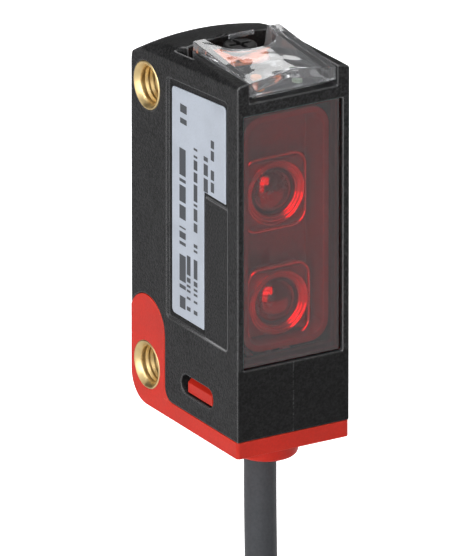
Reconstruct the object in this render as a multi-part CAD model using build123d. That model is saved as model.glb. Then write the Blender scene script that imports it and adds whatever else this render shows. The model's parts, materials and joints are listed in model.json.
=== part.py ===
from build123d import *
from math import atan2, cos, pi, radians, sin, sqrt, tan
import os

# Miniature photoelectric sensor with a cable. Millimetres, +Z up.
# The lens side faces -Y and the width runs along X. The origin lies midway between the axes of the
# two brass sleeves, which run along X near the rear face, and in the middle of the width.

# --- driving dimensions ---
SLEEVE_PITCH = 25.4
WIDTH = 11.0
DEPTH = 17.7
REAR_EDGE = 2.6                 # sleeve axis to the rear face
SEAM_DROP = 2.15                # lower sleeve axis down to the red and black seam
SKIRT = 1.5                     # thickness of the red floor plate
WALL = 0.9
CABLE_D = 2.8

HALF_W = WIDTH / 2
REAR_Y = REAR_EDGE
FRONT_Y = REAR_EDGE - DEPTH
SEAM_Z = -SLEEVE_PITCH / 2 - SEAM_DROP
BASE_Z = SEAM_Z - SKIRT

# roof: crowned across the width, level in front, falling in an arc to the rear
ROOF_Z = SEAM_Z + 32.7
CROWN = 0.6
ROOF_R = 16.9
ROOF_BEND_Y = FRONT_Y + 9.4
REAR_ROUND = 2.5
ROUND_PROUD = 0.06              # how far the rounding would stand above the roof at its end
CREASE_FRONT_Z = SEAM_Z + 31.95
CREASE_FALL = 0.0825            # fall of the side crease per mm towards the rear
HIP_RISE = 1.5                  # rise of the hip face per mm of width

# window rebate, crossbar and cover pocket
WINDOW_LOW_Z = SEAM_Z + 6.4
WINDOW_TOP_Z = SEAM_Z + 29.3
WINDOW_MARGIN = 0.65
WINDOW_SETBACK = 0.35
WINDOW_T = 0.8
FRONT_RIM = 0.55                # ledge behind the window
POCKET_Z = SEAM_Z + 30.5
POCKET_FLOOR = 0.8
POCKET_HALF_W = 4.3
POCKET_REAR_Y = FRONT_Y + 10.3
WIRE_WELL_HALF_W = 3.2          # opening in the pocket floor for the small board

# optics
LENS_R = 2.1
RECEIVER_RIM_Y = FRONT_Y + 3.7
TRANSMITTER_RIM_Y = FRONT_Y + 3.1
RECEIVER_Z = SEAM_Z + 20.7
TRANSMITTER_Z = SEAM_Z + 10.95
LENSES = ((RECEIVER_RIM_Y, RECEIVER_Z), (TRANSMITTER_RIM_Y, TRANSMITTER_Z))

# adjusting drive
SPINDLE_Y = FRONT_Y + 8.85
HEAD_TOP_Z = SEAM_Z + 32.3
RUNNING_GAP = 0.05

# cable
CABLE_Y = FRONT_Y + 5.5
BOSS_R = 2.75
BOSS_X = 0.25                   # the boss stands a little to the front and right of its bore
BOSS_Y = CABLE_Y - 0.55
BOSS_DROP = 2.05
EXIT_Z = BASE_Z - BOSS_DROP

FIT = 0.02                      # play between moulded or assembled pieces


def block(x0, x1, y0, y1, z0, z1):
    """A box between two corners."""
    return Pos((x0 + x1) / 2, (y0 + y1) / 2, (z0 + z1) / 2) * Box(x1 - x0, y1 - y0, z1 - z0)


def wide(half, y0, y1, z0, z1):
    """A box centred on the mid-plane."""
    return block(-half, half, y0, y1, z0, z1)


def rod_x(radius, y, z, length):
    """A cylinder along X, centred on the mid-plane."""
    return Pos(0, y, z) * Rot(0, 90, 0) * Cylinder(radius, length)


def rod_y(radius, x, z, y0, y1):
    """A cylinder along Y."""
    return Pos(x, (y0 + y1) / 2, z) * Rot(90, 0, 0) * Cylinder(radius, y1 - y0)


def rod_z(radius, x, y, z0, z1):
    """A cylinder along Z."""
    return Pos(x, y, (z0 + z1) / 2) * Cylinder(radius, z1 - z0)


def side_prism(outline, half):
    """An outline drawn in the YZ plane, made as wide as the two halves."""
    return extrude(Plane.YZ * outline, half, both=True)


# --- housing ---

def roof_limit():
    """Everything below the crowned roof: one section, drawn forward and turned down to the rear."""
    low = ROOF_Z - ROOF_R + 0.5
    side = ROOF_Z - CROWN
    outline = (
        ThreePointArc((-HALF_W, side), (0, ROOF_Z), (HALF_W, side))
        + Polyline((HALF_W, side), (HALF_W, low), (-HALF_W, low), (-HALF_W, side))
    )
    section = Plane(origin=(0, ROOF_BEND_Y, 0), x_dir=(1, 0, 0), z_dir=(0, -1, 0)) * make_face(outline)
    ahead = extrude(section, ROOF_BEND_Y - FRONT_Y)
    turn = Axis((0, ROOF_BEND_Y, ROOF_Z - ROOF_R), (-1, 0, 0))
    behind = revolve(section, turn, 42)
    below = wide(HALF_W, FRONT_Y, REAR_Y, SEAM_Z, low + 10)
    return ahead + behind + below


def side_limit():
    """The side view of the body: an upright rectangle whose top rear corner is rounded into the roof."""
    roof_y, roof_z = ROOF_BEND_Y, ROOF_Z - ROOF_R
    round_y = REAR_Y - REAR_ROUND
    reach = ROOF_R - REAR_ROUND + ROUND_PROUD
    round_z = roof_z + sqrt(reach ** 2 - (round_y - roof_y) ** 2)
    lean = atan2(round_z - roof_z, round_y - roof_y)
    touch = (round_y + REAR_ROUND * cos(lean), round_z + REAR_ROUND * sin(lean))
    half = lean / 2
    middle = (round_y + REAR_ROUND * cos(half), round_z + REAR_ROUND * sin(half))
    outline = (
        Polyline((ROOF_BEND_Y, ROOF_Z + 1), (FRONT_Y, ROOF_Z + 1), (FRONT_Y, SEAM_Z), (REAR_Y, SEAM_Z),
                 (REAR_Y, round_z))
        + ThreePointArc((REAR_Y, round_z), middle, touch)
        + Line(touch, (ROOF_BEND_Y, ROOF_Z + 1))
    )
    return side_prism(make_face(outline), HALF_W)


def hip_cut(side):
    """What lies above the hip face, which starts at the straight crease of one side."""
    place = Plane(
        origin=(side * HALF_W, FRONT_Y, CREASE_FRONT_Z),
        x_dir=(0, 1, -CREASE_FALL),
        z_dir=(side * HIP_RISE, CREASE_FALL, 1),
    )
    return place * Box(60, 40, 20, align=(Align.CENTER, Align.CENTER, Align.MIN))


EAR_R = 2.93                    # half the width of the red rear ear
EAR_Z = SEAM_Z + 5.6            # centre of its round top
EAR_CORNER = 1.2


def ear_outline(grow):
    """The side view of the red rear ear, an upright strip with a round top."""
    top = Circle(EAR_R + grow)
    strip = Rectangle(2 * (EAR_R + grow), 12, align=(Align.CENTER, Align.MAX))
    foot = Pos(-EAR_R - grow, SEAM_Z - EAR_Z) * (
        Rectangle(EAR_CORNER, EAR_CORNER, align=(Align.MAX, Align.MIN))
        - Pos(-EAR_CORNER, EAR_CORNER) * Circle(EAR_CORNER)
    )
    return Pos(0, EAR_Z) * (top + strip + foot)


SLOT_Y = FRONT_Y + 6.75
SLOT_Z = SEAM_Z + 2.5
SLOT_LENGTH = 5.3
SLOT_HEIGHT = 1.75

LABEL_FRONT_Y = FRONT_Y + 1.75
LABEL_REAR_Y = FRONT_Y + 11.8
LABEL_LOW_Z = SEAM_Z + 7.7
LABEL_TOP_Z = SEAM_Z + 30.2     # at the front end of the recess
LABEL_FLOOR = 0.3
TAB_REAR_Y = FRONT_Y + 5.6
TAB_TOP_Z = SEAM_Z + 20.5
TAB_FLOOR = 0.12


def recess_outline(shrink):
    """The side view of the label recess, whose top runs with the crease."""
    fall = CREASE_FALL * (LABEL_REAR_Y - LABEL_FRONT_Y)
    y0, y1 = LABEL_FRONT_Y + shrink, LABEL_REAR_Y - shrink
    z0, z1 = LABEL_LOW_Z + shrink, LABEL_TOP_Z - shrink
    face = make_face(Polyline((y0, z0), (y1, z0), (y1, z1 - fall), (y0, z1), close=True))
    return fillet(face.vertices(), 0.4)


def tab_outline(grow):
    """The side view of the raised tab in the front lower part of the recess."""
    y0, y1 = LABEL_FRONT_Y - 1, TAB_REAR_Y + grow
    z0, z1 = LABEL_LOW_Z - 1, TAB_TOP_Z + grow
    face = make_face(Polyline((y0, z0), (y1, z0), (y1, z1), (y0, z1), close=True))
    return fillet(face.vertices().group_by(Axis.Z)[-1].sort_by(Axis.Y)[-1:], 1.0)


def housing_shell():
    body = roof_limit() & side_limit()
    body -= hip_cut(-1)
    body -= hip_cut(1)
    body -= side_prism(ear_outline(FIT), HALF_W + 1)
    # cavity, deeper between the sleeves
    top = POCKET_Z - POCKET_FLOOR
    inner = HALF_W - WALL
    body -= wide(inner, FRONT_Y + WINDOW_SETBACK + WINDOW_T + FRONT_RIM, -3.6, SEAM_Z, top)
    body -= wide(inner, -3.8, REAR_Y - 1.0, EAR_Z + EAR_R + 1.0, SLEEVE_PITCH / 2 - 4.0)
    # window rebate and the opening behind it
    half = HALF_W - WINDOW_MARGIN
    rebate_y = FRONT_Y + WINDOW_SETBACK + WINDOW_T
    body -= wide(half, FRONT_Y - 1, rebate_y, WINDOW_LOW_Z, WINDOW_TOP_Z)
    body -= wide(half - 0.5, FRONT_Y, rebate_y + 2, WINDOW_LOW_Z + 0.6, WINDOW_TOP_Z - 0.6)
    # pocket for the clear cover, and its way down to the lights and the spindle
    body -= wide(POCKET_HALF_W, FRONT_Y - 1, POCKET_REAR_Y, POCKET_Z, ROOF_Z + 2)
    body -= wide(WIRE_WELL_HALF_W, FRONT_Y + 2.1, FRONT_Y + 5.0, top - 1, POCKET_Z + 1)
    body -= rod_z(SEAT_R, 0, SPINDLE_Y, top - 1, POCKET_Z + 1)
    # sleeve hole, snap slots and the recess in each side
    body -= rod_x(SLEEVE_R, 0, SLEEVE_PITCH / 2, WIDTH + 2)
    slot = side_prism(Pos(SLOT_Y, SLOT_Z) * SlotOverall(SLOT_LENGTH, SLOT_HEIGHT), HALF_W + 1)
    body -= slot
    for side in (-1, 1):
        floor = Pos(side * (HALF_W - LABEL_FLOOR + 1), 0, 0) * side_prism(recess_outline(0), 1)
        tab = Pos(side * (HALF_W - LABEL_FLOOR / 2 - TAB_FLOOR / 2), 0, 0) * side_prism(
            tab_outline(0) & recess_outline(0), (LABEL_FLOOR - TAB_FLOOR) / 2)
        body -= floor
        body += tab
    # small triangular pocket in each hip, beside the rear corner of the cover
    for side in (-1, 1):
        corners = [(side * (HALF_W - x), FRONT_Y + y) for x, y in ((0.55, 8.2), (0.55, 11.2), (1.35, 9.8))]
        notch = extrude(make_face(Polyline(*corners, close=True)), 3)
        body -= Pos(0, 0, SEAM_Z + 31.3) * notch
    return body


# --- sleeves ---

SLEEVE_R = 2.15
SLEEVE_BORE_R = 1.6
SLEEVE_CHAMFER = 0.4


def sleeve(z):
    """A turned through-sleeve with a wide inner chamfer at each end."""
    tube = rod_x(SLEEVE_R, 0, z, WIDTH + 0.1) - rod_x(SLEEVE_BORE_R, 0, z, WIDTH + 2)
    return chamfer(tube.edges().filter_by(GeomType.CIRCLE).sort_by(SortBy.RADIUS)[:2], SLEEVE_CHAMFER)


# --- base cap ---

ARM_T = 0.7
ARM_Y0 = SLOT_Y - 2.2
ARM_Y1 = SLOT_Y + 2.0


CAP_PROUD = 0.02                # the red cap stands this far proud of the black housing


def base_cap():
    half = HALF_W + CAP_PROUD
    plate = wide(half, FRONT_Y - CAP_PROUD, REAR_Y, BASE_Z, SEAM_Z - FIT)
    plate = fillet(plate.edges().filter_by(Axis.Z).sort_by(Axis.Y)[:2], 0.35)
    ear = side_prism(ear_outline(-FIT), half)
    ear &= wide(half, -EAR_R - 2, REAR_Y, BASE_Z, EAR_Z + 4)
    cap = plate + ear
    rear_low = cap.edges().filter_by(Axis.X).group_by(Axis.Z)[0].sort_by(Axis.Y)[-1:]
    cap = fillet(rear_low, 2.5)
    # rim that stands inside the shell
    inner = HALF_W - WALL - 0.05
    rim_y0 = FRONT_Y + WINDOW_SETBACK + WINDOW_T + FRONT_RIM + 0.05
    rim_y1 = -3.65
    rim = wide(inner, rim_y0, rim_y1, SEAM_Z - 0.2, SEAM_Z + 1.2)
    rim -= wide(inner - 0.7, rim_y0 + 0.7, rim_y1 - 0.7, SEAM_Z - 1, SEAM_Z + 2)
    cap += rim
    # snap arms with their noses in the slots
    for side in (-1, 1):
        x0, x1 = sorted((side * inner, side * (inner - ARM_T)))
        cap += block(x0, x1, ARM_Y0, ARM_Y1, SEAM_Z - 0.2, SLOT_Z + 1.6)
        n0, n1 = sorted((side * (inner - 0.1), side * (HALF_W - 0.25)))
        nose = block(n0, n1, SLOT_Y - 2.1, SLOT_Y + 1.9, SLOT_Z - 0.75, SLOT_Z + 0.62)
        cap += chamfer(nose.edges().filter_by(Axis.Y).group_by(Axis.Z)[-1].sort_by(Axis.X)[
            0 if side < 0 else -1], 0.45)
    # cable boss, its bore and the sleeve hole
    boss = rod_z(BOSS_R, BOSS_X, BOSS_Y, EXIT_Z, BASE_Z + 0.2)
    cap += fillet(boss.edges().group_by(Axis.Z)[0], 0.45)
    cap += rod_z(2.6, 0, CABLE_Y, SEAM_Z - 0.2, SEAM_Z + 1.6)
    cap -= rod_z(CABLE_D / 2, 0, CABLE_Y, EXIT_Z - 1, SEAM_Z + 3)
    cap -= rod_x(SLEEVE_R, 0, -SLEEVE_PITCH / 2, WIDTH + 2)
    return cap


# --- window and clear cover ---

def front_window():
    half = HALF_W - WINDOW_MARGIN - FIT
    y0 = FRONT_Y + WINDOW_SETBACK
    plate = wide(half, y0, y0 + WINDOW_T, WINDOW_LOW_Z + FIT, WINDOW_TOP_Z - FIT)
    return fillet(plate.edges().filter_by(Axis.Y), 0.25)


COVER_HALF_W = POCKET_HALF_W - 0.04
COVER_FRONT_Y = FRONT_Y + 0.12
COVER_LOW_Z = SEAM_Z + 31.03
COVER_REAR_Y = FRONT_Y + 9.5
COVER_WALL = 0.95
COVER_HOLE_R = 2.75
FOOT_INSET = 0.9


def cover_blank(drop, inset):
    """The faceted outside of the cover, or its hollow when dropped and drawn in."""
    x = COVER_HALF_W - inset
    front, rear = COVER_FRONT_Y + inset, COVER_REAR_Y - inset
    ridge_y = FRONT_Y + 5.25
    low = POCKET_Z
    side_front, side_rear = SEAM_Z + 32.2 - drop, SEAM_Z + 33.1 - drop
    ridge_front, ridge_end = SEAM_Z + 32.8 - drop, SEAM_Z + 32.95 - drop
    left_front, left_rear = (-x, front, side_front), (-x, rear, side_rear)
    right_front, right_rear = (x, front, side_front), (x, rear, side_rear)
    peak, end = (0, front, ridge_front), (0, ridge_y, ridge_end)
    rear_mid = (0, rear, side_rear)
    floor = [(-x, front, low), (x, front, low), (x, rear, low), (-x, rear, low)]
    rings = [
        floor,
        [floor[0], floor[1], right_front, peak, left_front],
        [floor[1], floor[2], right_rear, right_front],
        [floor[2], floor[3], left_rear, rear_mid, right_rear],
        [floor[3], floor[0], left_front, left_rear],
        [left_front, peak, end], [left_front, end, left_rear], [left_rear, end, rear_mid],
        [right_front, end, peak], [right_front, right_rear, end], [right_rear, rear_mid, end],
    ]
    faces = [make_face(Polyline(*ring, close=True)) for ring in rings]
    return Solid(Shell([f for part in faces for f in part.faces()]))


def indicator_cover():
    cover = cover_blank(0, 0) - cover_blank(COVER_WALL, COVER_WALL)
    # the front lip stands clear of the crossbar
    cover -= wide(COVER_HALF_W + 1, COVER_FRONT_Y - 1, COVER_FRONT_Y + FOOT_INSET, POCKET_Z - 1, COVER_LOW_Z)
    # round cut-out for the screwdriver, opening upwards
    cone = Pos(0, SPINDLE_Y, POCKET_Z + 1.6) * Cone(COVER_HOLE_R - 0.1, COVER_HOLE_R + 0.45, 3.4)
    cover -= cone
    return cover


# --- adjusting drive ---

SEAT_R = 1.95
HEAD_R = 1.45
HEAD_H = 1.3
STEM_R = 1.0
CLIP_Z = SEAM_Z + 28.4
DRIVE_LOW_Z = SEAM_Z + 19.2


def adjusting_spindle():
    head = rod_z(HEAD_R, 0, SPINDLE_Y, HEAD_TOP_Z - HEAD_H, HEAD_TOP_Z)
    head = fillet(head.edges().group_by(Axis.Z)[-1], 0.2)
    cross = block(-1.05, 1.05, SPINDLE_Y - 0.22, SPINDLE_Y + 0.22, HEAD_TOP_Z - 0.8, HEAD_TOP_Z + 1)
    cross += block(-0.22, 0.22, SPINDLE_Y - 1.05, SPINDLE_Y + 1.05, HEAD_TOP_Z - 0.8, HEAD_TOP_Z + 1)
    stem = rod_z(STEM_R, 0, SPINDLE_Y, DRIVE_LOW_Z, HEAD_TOP_Z - HEAD_H + 0.1)
    groove = rod_z(STEM_R + 0.5, 0, SPINDLE_Y, CLIP_Z - 0.3, CLIP_Z + 0.3)
    groove -= rod_z(STEM_R - 0.3, 0, SPINDLE_Y, CLIP_Z - 1, CLIP_Z + 1)
    return head - cross + stem - groove


def spindle_clip():
    ring = rod_z(1.75, 0, SPINDLE_Y, CLIP_Z - 0.2, CLIP_Z + 0.2)
    return ring - rod_z(STEM_R - 0.25, 0, SPINDLE_Y, CLIP_Z - 1, CLIP_Z + 1)


def spindle_seal():
    """A soft ring lying on the pocket floor, with its collar down in the floor's hole."""
    collar = rod_z(SEAT_R - FIT, 0, SPINDLE_Y, POCKET_Z - POCKET_FLOOR, POCKET_Z + 0.2)
    flange = rod_z(2.55, 0, SPINDLE_Y, POCKET_Z, POCKET_Z + 0.45)
    flange = fillet(flange.edges().group_by(Axis.Z)[-1], 0.2)
    flange &= wide(3, SPINDLE_Y - 3, POCKET_REAR_Y - FIT, POCKET_Z, POCKET_Z + 1)
    return collar + flange - rod_z(STEM_R + RUNNING_GAP, 0, SPINDLE_Y, POCKET_Z - 2, POCKET_Z + 2)


CARRIAGE_LOW_Z = SEAM_Z + 21.9
CARRIAGE_TOP_Z = SEAM_Z + 25.3
PIN_X = 2.7
PIN_R = 0.4


def mirror_carriage():
    nut = wide(3.6, SPINDLE_Y - 1.6, SPINDLE_Y + 1.5, CARRIAGE_LOW_Z, CARRIAGE_TOP_Z)
    arm = wide(1.9, SPINDLE_Y - 2.5, SPINDLE_Y - 1.2, RECEIVER_Z - 2.0, CARRIAGE_LOW_Z + 1.4)
    body = nut + arm
    body -= rod_z(STEM_R + RUNNING_GAP, 0, SPINDLE_Y, CARRIAGE_LOW_Z - 5, CARRIAGE_TOP_Z + 1)
    for x in (-PIN_X, PIN_X):
        body -= rod_z(PIN_R + RUNNING_GAP, x, SPINDLE_Y, CARRIAGE_LOW_Z - 1, CARRIAGE_TOP_Z + 1)
    return body


def deflecting_mirror():
    return wide(1.6, SPINDLE_Y - 2.8, SPINDLE_Y - 2.5, RECEIVER_Z - 1.8, RECEIVER_Z + 1.8)


def guide_pins():
    low, top = CARRIAGE_LOW_Z - 1.9, POCKET_Z - POCKET_FLOOR
    return [rod_z(PIN_R, x, SPINDLE_Y, low, top) for x in (-PIN_X, PIN_X)]


# --- optics ---

CARRIER_HALF_W = 4.25
CARRIER_LOW_Z = SEAM_Z + 7.3
CARRIER_TOP_Z = SEAM_Z + 28.6
CARRIER_FRONT_Y = FRONT_Y + WINDOW_SETBACK + WINDOW_T + 0.1
CARRIER_REAR_Y = RECEIVER_RIM_Y + 1.6
SEAT_HALF = 2.85


def optics_carrier():
    """A frame with two square lens seats; a light trap separates the two chambers behind them."""
    body = wide(CARRIER_HALF_W, CARRIER_FRONT_Y, CARRIER_REAR_Y, CARRIER_LOW_Z, CARRIER_TOP_Z)
    body = fillet(body.edges().filter_by(Axis.Y), 1.9)
    hollow = wide(CARRIER_HALF_W - 0.6, CARRIER_FRONT_Y - 1, RECEIVER_RIM_Y + 0.5, CARRIER_LOW_Z + 0.6,
                  CARRIER_TOP_Z - 0.6)
    body -= fillet(hollow.edges().filter_by(Axis.Y), 1.3)
    for rim_y, z in LENSES:
        seat = wide(SEAT_HALF, rim_y - 0.35, RECEIVER_RIM_Y + 0.7, z - SEAT_HALF, z + SEAT_HALF)
        body += fillet(seat.edges().filter_by(Axis.Y), 0.5)
        body -= rod_y(LENS_R + FIT, 0, z, rim_y - 2, rim_y + 0.5)
        body -= rod_y(LENS_R - 0.35, 0, z, rim_y, CARRIER_REAR_Y + 1)
    return body


def lens(rim_y, z):
    """A plano-convex lens with a cylindrical rim."""
    bulge = 0.85
    sphere_r = (LENS_R ** 2 + bulge ** 2) / (2 * bulge)
    rim = rod_y(LENS_R, 0, z, rim_y, rim_y + 0.5)
    dome = Pos(0, rim_y - bulge + sphere_r, z) * Sphere(sphere_r)
    dome &= rod_y(LENS_R, 0, z, rim_y - bulge - 1, rim_y + 0.1)
    return rim + dome


# --- electronics ---

BOARD_Y0 = -4.6
BOARD_Y1 = -3.8
BOARD_LOW_Z = SEAM_Z + 3.0
BOARD_TOP_Z = SEAM_Z + 28.0
INDICATOR_Z = SEAM_Z + 29.0


def main_board():
    board = wide(4.3, BOARD_Y0, BOARD_Y1, BOARD_LOW_Z, BOARD_TOP_Z)
    for index, x in enumerate(CORE_X):
        board -= rod_y(0.3, x, BOARD_LOW_Z + HOLE_UP[index % 2], BOARD_Y0 - 1, BOARD_Y1 + 1)
    return board


def emitter_led():
    z = TRANSMITTER_Z
    package = wide(1.4, BOARD_Y0 - 1.0, BOARD_Y0, z - 1.2, z + 1.2)
    return package + rod_y(0.9, 0, z, BOARD_Y0 - 1.5, BOARD_Y0 - 0.9)


def receiver_diode():
    z = RECEIVER_Z - 4.0
    return wide(1.6, BOARD_Y0 - 0.9, BOARD_Y0, z - 1.0, z + 1.0)


def signal_chip():
    return wide(2.0, BOARD_Y1, BOARD_Y1 + 0.9, SEAM_Z + 18.5, SEAM_Z + 22.5)


def shield_can():
    y0, y1 = BOARD_Y1, BOARD_Y1 + 1.8
    can = wide(3.4, y0, y1, SEAM_Z + 10.6, SEAM_Z + 17.4)
    can = fillet(can.edges().group_by(Axis.Y)[-1], 0.3)
    return can - wide(3.2, y0 - 1, y1 - 0.2, SEAM_Z + 10.8, SEAM_Z + 17.2)


def chip_capacitors():
    sites = [(x, SEAM_Z + z) for x in (-3.2, 3.2) for z in (7.6, 9.2, 14.6, 16.2)]
    return [block(x - 0.4, x + 0.4, BOARD_Y0 - 0.5, BOARD_Y0, z - 0.5, z + 0.5) for x, z in sites]


def indicator_board():
    return wide(3.9, FRONT_Y + 1.95, FRONT_Y + 5.6, INDICATOR_Z, INDICATOR_Z + 0.5)


LED_X = 1.9
LED_Y = FRONT_Y + 3.0


def status_led(x):
    """A small chip lamp with a domed lens, on the indicator board."""
    z = INDICATOR_Z + 0.5
    body = block(x - 0.8, x + 0.8, LED_Y - 0.5, LED_Y + 0.5, z, z + 0.7)
    return body + Pos(x, LED_Y, z + 0.7) * Cylinder(0.45, 0.6, align=(Align.CENTER, Align.CENTER, Align.MIN))


def board_pins():
    """Four angled pins from the indicator board to the top of the main board."""
    z = BOARD_TOP_Z - 0.3
    pins = []
    for x in (-3.75, -3.35, 3.35, 3.75):
        run = block(x - 0.12, x + 0.12, FRONT_Y + 5.35, BOARD_Y0, z - 0.24, z)
        up = block(x - 0.12, x + 0.12, FRONT_Y + 5.35, FRONT_Y + 5.59, z - 0.1, INDICATOR_Z)
        pins.append(run + up)
    return pins


# --- cable, inside the base ---

CORE_X = (-1.8, -0.6, 0.6, 1.8)
HOLE_UP = (1.0, 2.4)            # heights of the board's two rows of wire holes
CORE_COLOURS = ("brown", "white", "blue", "black")
CORE_R = 0.26
JACKET_TOP_Z = SEAM_Z + 2.4


def round_path(points, radii):
    """Straight runs joined by tangent arcs."""
    return FilletPolyline(*points, radius=radii)


def tube(path, radius):
    """A round tube along a path."""
    start = Plane(origin=path @ 0, z_dir=path % 0)
    return sweep(start * Circle(radius), path)


def cable_jacket_end():
    return rod_z(CABLE_D / 2, 0, CABLE_Y, EXIT_Z, JACKET_TOP_Z)


def cable_clamp():
    z0, z1 = SEAM_Z + 1.62, SEAM_Z + 2.3
    return rod_z(2.0, 0, CABLE_Y, z0, z1) - rod_z(CABLE_D / 2, 0, CABLE_Y, z0 - 1, z1 + 1)


def inner_core(index):
    """One core from the end of the jacket to its hole in the main board."""
    x = CORE_X[index]
    start_x = 0.62 * (-1 if index < 2 else 1)
    start_y = CABLE_Y + 0.62 * (-1 if index % 2 else 1)
    rise = 2.2 if index % 2 else 0.9
    hole_z = BOARD_LOW_Z + HOLE_UP[index % 2]
    points = [
        (start_x, start_y, JACKET_TOP_Z),
        (start_x, start_y, JACKET_TOP_Z + rise),
        (x, (start_y + BOARD_Y0) / 2, hole_z),
        (x, BOARD_Y0 - 0.02, hole_z),
    ]
    return tube(round_path(points, [0.3, 0.4]), CORE_R)


# --- cable, outside the sensor ---

COIL_MID_R = 17.0               # ring through the middle of the turns
COIL_LAYERS = 5
COIL_ACROSS = 4
TURN_PITCH = 2.86
COIL_W = COIL_ACROSS * TURN_PITCH
COIL_H = COIL_LAYERS * TURN_PITCH
COIL_TOP_Z = EXIT_Z - 40.0
COIL_Z = COIL_TOP_Z - COIL_H / 2
LANDING_R = COIL_MID_R + TURN_PITCH / 2
LANDING_Z = COIL_TOP_Z - TURN_PITCH / 2
LANDING_X = 25.0
COIL_X = LANDING_X
COIL_Y = CABLE_Y + LANDING_R

LEAD_ROUTE = [
    (0.0, CABLE_Y, EXIT_Z),
    (0.0, CABLE_Y, EXIT_Z - 13.0),
    (1.0, CABLE_Y - 0.1, EXIT_Z - 25.0),
    (6.0, CABLE_Y + 0.1, EXIT_Z - 34.7),
    (15.0, CABLE_Y, EXIT_Z - 40.4),
    (LANDING_X, CABLE_Y, LANDING_Z),
]


def corner_radii(points):
    """Each corner's arc: 0.45 of its shorter run over the tangent of half its turn."""
    radii = []
    for a, b, c in zip(points, points[1:], points[2:]):
        before, after = Vector(*b) - Vector(*a), Vector(*c) - Vector(*b)
        half = radians(before.get_angle(after)) / 2
        radii.append(0.45 * min(before.length, after.length) / tan(half))
    return radii


def cable_lead():
    radii = corner_radii(LEAD_ROUTE)
    path = round_path(LEAD_ROUTE, radii)
    lead = tube(path, CABLE_D / 2)
    expected = pi * (CABLE_D / 2) ** 2 * path.length
    print("cable_lead radii", [round(r, 1) for r in radii], "length", round(path.length, 1),
          "volume over section times length", round(lead.volume / expected, 4))
    return lead


def cable_coil():
    section = Pos(COIL_MID_R, 0) * RectangleRounded(COIL_W, COIL_H, 1.3)
    ring = revolve(Plane.XZ * section, Axis.Z)
    return Pos(COIL_X, COIL_Y, COIL_Z) * ring


TIE_ANGLE = 11                  # width of the tie round the ring, in degrees
TIE_T = 0.5


def coil_tie():
    """A flat strap round the bundle, on the side away from the sensor."""
    outer = RectangleRounded(COIL_W + 2 * TIE_T, COIL_H + 2 * TIE_T, 1.8)
    inner = RectangleRounded(COIL_W, COIL_H, 1.3)
    loop = revolve(Plane.XZ * (Pos(COIL_MID_R, 0) * (outer - inner)), Axis.Z, TIE_ANGLE)
    return Pos(COIL_X, COIL_Y, COIL_Z) * Rot(0, 0, -TIE_ANGLE / 2) * loop


# the bare end: the outermost turn of the lowest layer runs out straight
END_ANGLE = radians(135)
END_R = COIL_MID_R + COIL_W / 2 - TURN_PITCH / 2
TAIL_LENGTH = 12.0
END_CORE_LENGTH = 6.0
TIP_R = 0.15
TIP_LENGTH = 2.0


def on_tail(distance):
    """The plane across the tail, at a distance from where it leaves the last turn."""
    return Plane(
        origin=(
            COIL_X + END_R * cos(END_ANGLE) - distance * sin(END_ANGLE),
            COIL_Y + END_R * sin(END_ANGLE) + distance * cos(END_ANGLE),
            COIL_TOP_Z - COIL_H + TURN_PITCH / 2,
        ),
        z_dir=(-sin(END_ANGLE), cos(END_ANGLE), 0),
    )


def cable_tail():
    return extrude(on_tail(0) * Circle(CABLE_D / 2), TAIL_LENGTH)


def core_spot(index):
    """Where one core sits in the round of the jacket."""
    return Pos(0.55 * (-1 if index < 2 else 1), 0.55 * (-1 if index % 2 else 1))


def end_core(index):
    """One free core at the end of the tail."""
    return extrude(on_tail(TAIL_LENGTH) * core_spot(index) * Circle(CORE_R), END_CORE_LENGTH)


def tinned_tips():
    """The stripped and tinned ends of the four cores."""
    place = on_tail(TAIL_LENGTH + END_CORE_LENGTH)
    return [extrude(place * core_spot(index) * Circle(TIP_R), TIP_LENGTH) for index in range(4)]


# --- label ---

def type_label():
    """A thin plate on the recess floor, cut away round the tab."""
    outline = recess_outline(0.6) - tab_outline(0.35)
    thickness = 0.1
    x = -HALF_W + LABEL_FLOOR - thickness / 2
    return Pos(x, 0, 0) * side_prism(outline, thickness / 2)


NODES = {
    "housing_shell": housing_shell(),
    "base_cap": base_cap(),
    "upper_sleeve": sleeve(SLEEVE_PITCH / 2),
    "lower_sleeve": sleeve(-SLEEVE_PITCH / 2),
    "front_window": front_window(),
    "indicator_cover": indicator_cover(),
    "adjusting_spindle": adjusting_spindle(),
    "spindle_clip": spindle_clip(),
    "spindle_seal": spindle_seal(),
    "mirror_carriage": mirror_carriage(),
    "deflecting_mirror": deflecting_mirror(),
    "guide_pins": guide_pins(),
    "type_label": type_label(),
    "optics_carrier": optics_carrier(),
    "receiver_lens": lens(RECEIVER_RIM_Y, RECEIVER_Z),
    "transmitter_lens": lens(TRANSMITTER_RIM_Y, TRANSMITTER_Z),
    "emitter_led": emitter_led(),
    "receiver_diode": receiver_diode(),
    "main_board": main_board(),
    "signal_chip": signal_chip(),
    "shield_can": shield_can(),
    "chip_capacitors": chip_capacitors(),
    "indicator_board": indicator_board(),
    "status_led_yellow": status_led(-LED_X),
    "status_led_green": status_led(LED_X),
    "board_pins": board_pins(),
    "cable_jacket_end": cable_jacket_end(),
    "cable_clamp": cable_clamp(),
    "cable_lead": cable_lead(),
    "cable_coil": cable_coil(),
    "coil_tie": coil_tie(),
    "cable_tail": cable_tail(),
    "tinned_tips": tinned_tips(),
}
for number, colour in enumerate(CORE_COLOURS):
    NODES["inner_core_" + colour] = inner_core(number)
    NODES["end_core_" + colour] = end_core(number)

os.makedirs("parts", exist_ok=True)
for name, shape in NODES.items():
    export_step(Compound(children=shape) if isinstance(shape, list) else shape, f"parts/{name}.step")
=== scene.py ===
# Miniature photoelectric sensor with its cable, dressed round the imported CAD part. Metres, +Z up.
import json
from math import cos, pi, radians, sin

import bmesh
import bpy
import numpy as np
from mathutils import Matrix, Vector

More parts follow.
